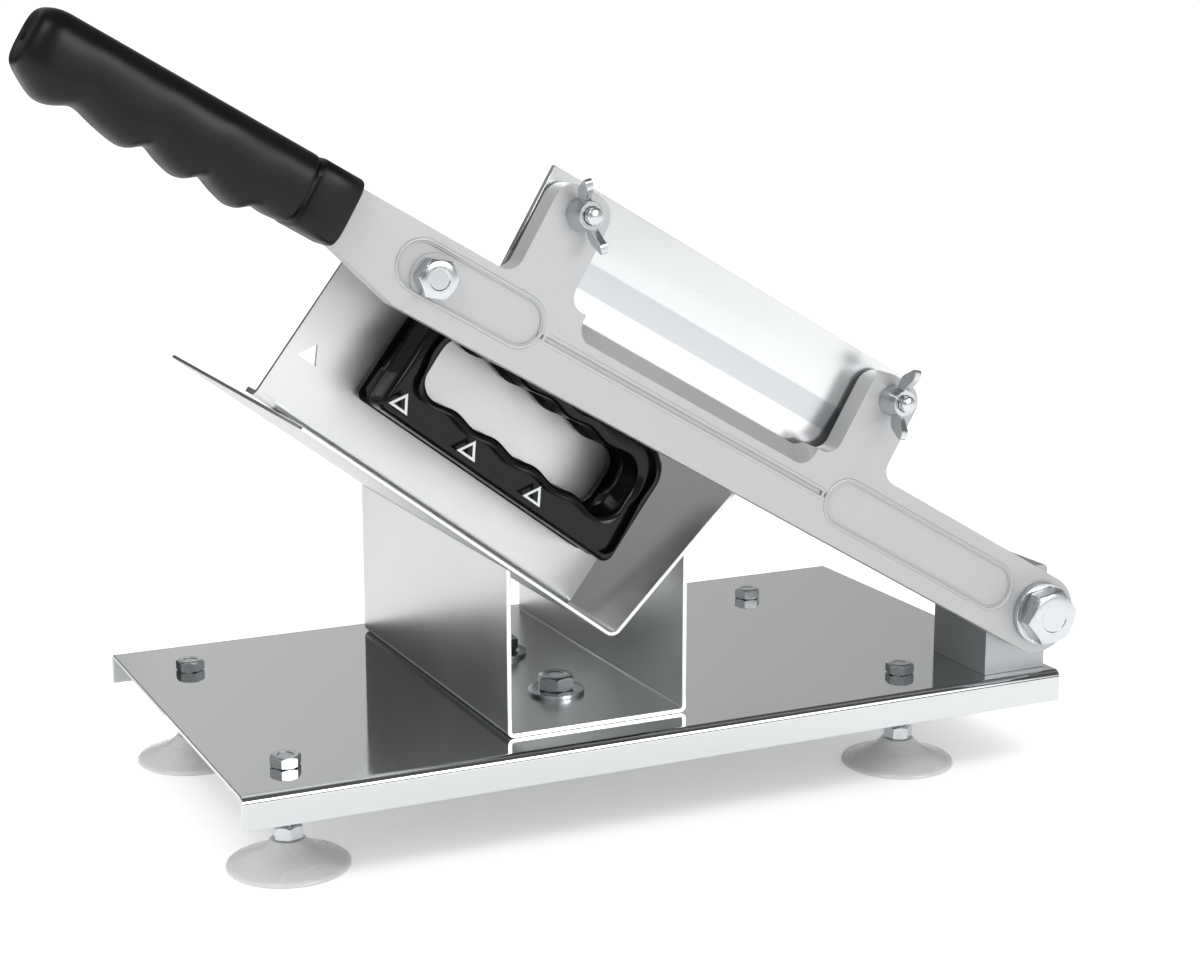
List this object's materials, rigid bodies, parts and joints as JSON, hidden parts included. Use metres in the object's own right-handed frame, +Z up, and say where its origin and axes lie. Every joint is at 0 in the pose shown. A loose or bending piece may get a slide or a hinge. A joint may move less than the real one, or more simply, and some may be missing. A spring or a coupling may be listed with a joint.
{
  "type": "lever meat slicer",
  "caption": "Bench slicer for frozen meat: a hand lever with a straight blade swings over a V trough with a pusher, on a sheet base with suction feet.",
  "frame": {"origin": "middle of the footprint, on the surface that the suction cups stand on", "axes": "+Z up, +X right along the base towards the lever's pivot, +Y from the lever's side towards the back of the trough"},
  "size_m": [0.4044, 0.2044, 0.3007],
  "materials": {
    "mirror_steel": "mirror polished stainless sheet",
    "brushed_steel": "satin stainless sheet",
    "blade_steel": "ground blade steel",
    "zinc": "bright plated fasteners",
    "cast_aluminium": "silver sprayed casting",
    "block_aluminium": "satin",
    "black_plastic": "satin moulded",
    "clear_rubber": "clear soft vinyl"
  },
  "bodies": {
    "base": {"base_plate": "mirror_steel", "suction_cup_front_left": "clear_rubber", "suction_cup_rear_left": "clear_rubber", "suction_cup_front_right": "clear_rubber", "suction_cup_rear_right": "clear_rubber", "foot_bolt_front_left": "zinc", "foot_bolt_rear_left": "zinc", "foot_bolt_front_right": "zinc", "foot_bolt_rear_right": "zinc", "cup_nut_front_left": "zinc", "cup_nut_rear_left": "zinc", "cup_nut_front_right": "zinc", "cup_nut_rear_right": "zinc", "plate_nut_front_left": "zinc", "plate_nut_rear_left": "zinc", "plate_nut_front_right": "zinc", "plate_nut_rear_right": "zinc", "bracket": "mirror_steel", "tray": "mirror_steel", "pivot_block": "block_aluminium", "bracket_washer_front": "zinc", "bracket_bolt_front": "zinc", "bracket_nut_front": "zinc", "block_screw_front": "zinc", "bracket_washer_rear": "zinc", "bracket_bolt_rear": "zinc", "bracket_nut_rear": "zinc", "block_screw_rear": "zinc", "pivot_washer_front": "zinc", "thrust_washer": "zinc", "pivot_washer_rear": "zinc", "pivot_nut": "zinc", "pivot_bolt": "zinc"},
    "lever": {"arm": "cast_aluminium", "grip": "black_plastic", "pocket_bolt": "zinc", "blade": "blade_steel", "blade_bolt_right": "zinc", "blade_bolt_left": "zinc", "blade_spacer_right": "zinc", "blade_spacer_left": "zinc"},
    "pusher": {"pusher_plate": "brushed_steel", "pusher_handle_rear": "black_plastic", "pusher_handle_front": "black_plastic", "handle_screw_left": "zinc", "handle_screw_right": "zinc"},
    "wing_nut_left": {"wing_nut_left": "zinc"},
    "wing_nut_right": {"wing_nut_right": "zinc"}
  },
  "joints": [
    {"name": "lever_hinge", "type": "hinge", "parent": "base", "child": "lever", "pos_m": [0.18608, -0.08435, 0.0648], "axis": [0, 1, 0], "range_deg": [-30, 50]},
    {"name": "pusher_slide", "type": "slide", "parent": "base", "child": "pusher", "axis": [0, 1, 0], "range_m": [-0.004, 0.12]},
    {"name": "wing_nut_left_turn", "type": "hinge", "parent": "lever", "child": "wing_nut_left", "pos_m": [-0.01342, -0.08965, 0.23076], "axis": [0, -1, 0], "continuous": true},
    {"name": "wing_nut_right_turn", "type": "hinge", "parent": "lever", "child": "wing_nut_right", "pos_m": [0.11476, -0.08965, 0.15577], "axis": [0, -1, 0], "continuous": true}
  ]
}
